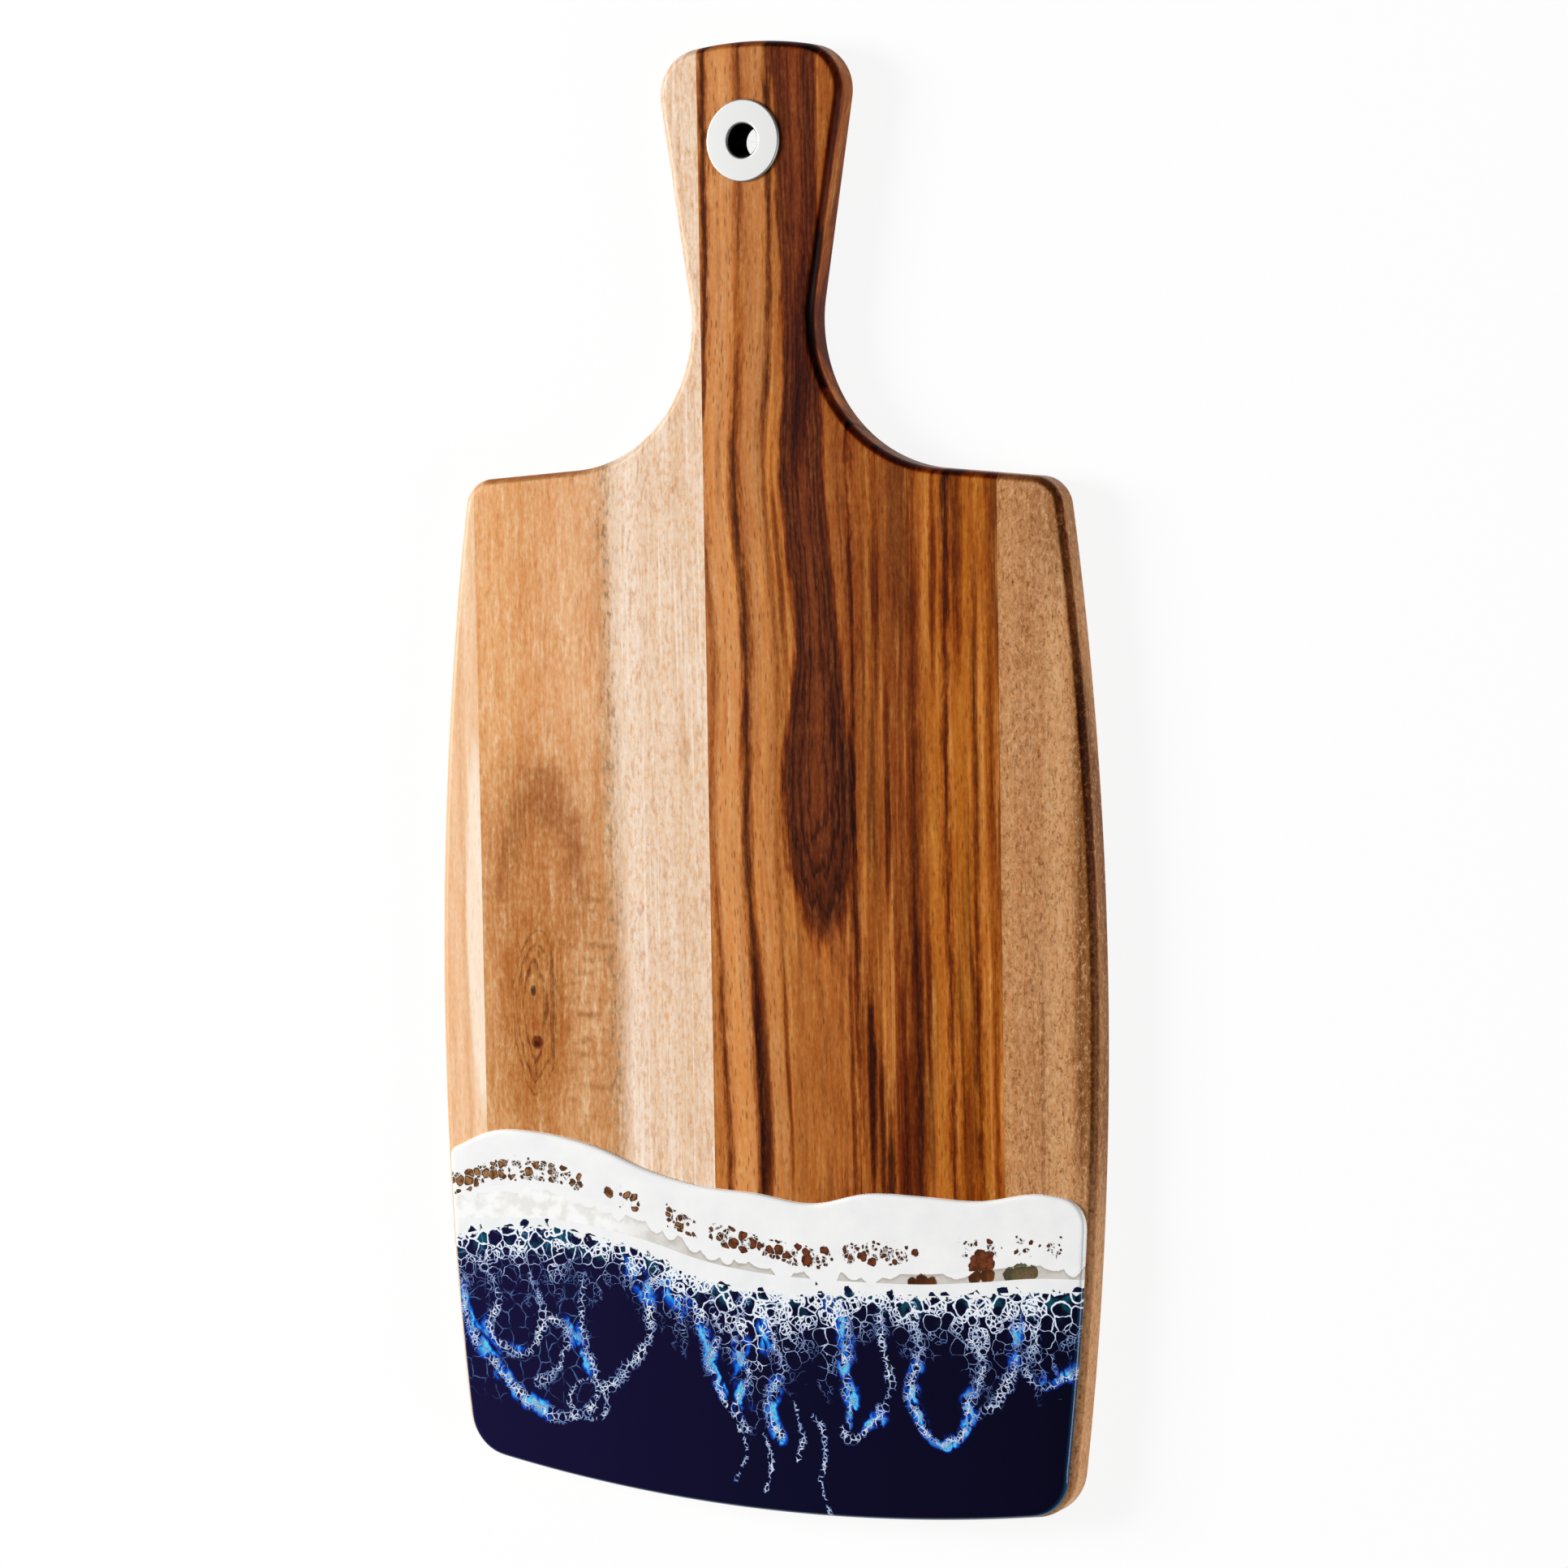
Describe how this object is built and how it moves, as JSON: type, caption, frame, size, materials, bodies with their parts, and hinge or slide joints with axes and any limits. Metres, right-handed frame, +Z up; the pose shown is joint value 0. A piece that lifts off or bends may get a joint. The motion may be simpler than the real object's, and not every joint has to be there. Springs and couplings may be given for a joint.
{
  "type": "paddle serving board",
  "caption": "Paddle-shaped serving board of edge-glued acacia staves with a short handle, a metal hang eyelet and a poured resin tide over its end.",
  "frame": {"origin": "middle of the overall box, on the underside that the board lies on", "axes": "X across the board, +Y along it towards the handle, +Z up out of the serving face"},
  "size_m": [0.2568, 0.508, 0.0142],
  "materials": {
    "edge_acacia": "oiled acacia, pale tan",
    "tan_acacia": "oiled acacia, tan with a sapwood strip and a knot",
    "heart_acacia": "oiled acacia heartwood, dark striped",
    "curly_acacia": "oiled acacia with curly fleck",
    "eyelet_metal": "satin",
    "navy_resin": "gloss cast resin, navy",
    "white_resin": "gloss cast resin, white",
    "clear_resin": "gloss cast resin, hazy clear"
  },
  "bodies": {
    "root": {"left_edge_stave": "edge_acacia", "left_stave": "tan_acacia", "heart_stave": "heart_acacia", "right_stave": "curly_acacia", "eyelet": "eyelet_metal", "eyelet_washer": "eyelet_metal", "sea_resin": "navy_resin", "foam_resin": "white_resin", "tide_resin": "clear_resin", "shore_resin": "white_resin"}
  },
  "joints": []
}
